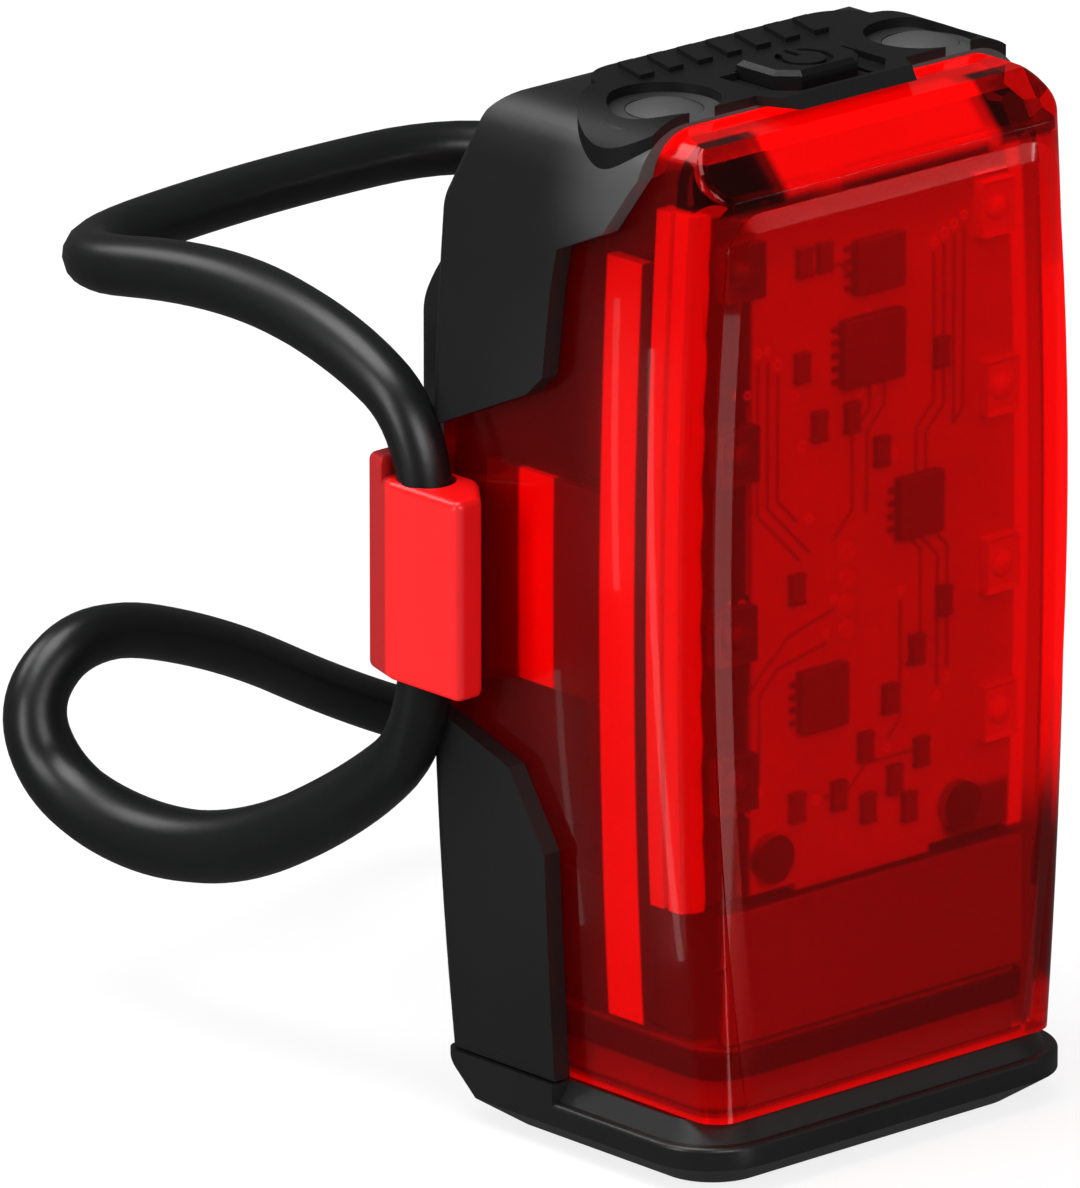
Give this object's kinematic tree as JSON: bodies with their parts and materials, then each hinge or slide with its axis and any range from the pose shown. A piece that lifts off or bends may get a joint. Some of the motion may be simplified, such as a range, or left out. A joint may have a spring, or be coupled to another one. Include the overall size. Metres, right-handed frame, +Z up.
{
  "type": "bike rear light",
  "caption": "Upright bike rear light with red front lens, black housing, rubber end cap, push button, rear post saddle and round rubber strap hooked over a side tab",
  "frame": {"origin": "On the flat underside of the end cap, in the middle of the light's width, halfway between the lens front and the foot of the housing's rear face", "axes": "+X to the right seen from the front, the lens faces -Y, +Z up along the light"},
  "size_m": [0.0393, 0.0632, 0.0659],
  "materials": {
    "housing_black": "fine matte moulded black",
    "lens_red": "clear deep red, polished",
    "cover_rubber": "matte black rubber",
    "button_rubber": "satin black rubber",
    "switch_black": "plain",
    "switch_steel": "plain",
    "screw_steel": "plain",
    "plug_grey": "smooth dark grey dome",
    "frame_black": "plain black",
    "board_green": "white solder mask",
    "led_white": "white body with clear dome",
    "chip_black": "moulded black",
    "component_tan": "ceramic",
    "pad_gold": "gold plated",
    "guide_clear": "clear strip that glows",
    "reflector_white": "white, bright",
    "battery_silver": "foil pouch",
    "foam_black": "soft foam",
    "lead_red": "insulated wire",
    "port_steel": "folded steel",
    "cap_rubber": "satin black rubber",
    "saddle_rubber": "matte black rubber",
    "tab_red": "glossy bright red",
    "strap_rubber": "soft sheen black rubber"
  },
  "bodies": {
    "light_body": {"rear_housing": "housing_black", "front_lens": "lens_red", "top_cover": "cover_rubber", "tact_switch": "switch_steel", "case_screws": "screw_steel", "screw_plugs": "plug_grey", "inner_frame": "frame_black", "circuit_board": "board_green", "leds": "led_white", "control_chips": "chip_black", "board_components": "component_tan", "test_pads": "pad_gold", "board_screws": "screw_steel", "light_guide_left": "guide_clear", "light_guide_right": "guide_clear", "side_reflector_left": "reflector_white", "side_reflector_right": "reflector_white", "battery_cell": "battery_silver", "battery_foam": "foam_black", "battery_leads": "lead_red", "charge_port_shell": "port_steel", "charge_port_tongue": "chip_black", "charge_port_contacts": "pad_gold", "mount_pad": "saddle_rubber", "strap": "strap_rubber"},
    "button": {"power_button": "button_rubber", "switch_plunger": "switch_black"},
    "cap": {"end_cap": "cap_rubber"},
    "tab": {"strap_tab": "tab_red"}
  },
  "joints": [
    {"name": "button_press", "type": "slide", "parent": "light_body", "child": "button", "axis": [0, 0, -1], "range_m": [0, 0.0006], "stiffness_N_per_m": 1500, "springref_m": -0.001},
    {"name": "cap_pull", "type": "slide", "parent": "light_body", "child": "cap", "axis": [0, 0, -1], "range_m": [0, 0.012]},
    {"name": "tab_unhook", "type": "slide", "parent": "light_body", "child": "tab", "axis": [-1, 0, 0], "range_m": [0, 0.005], "stiffness_N_per_m": 400, "springref_m": -0.001, "deforming": ["strap"]}
  ]
}
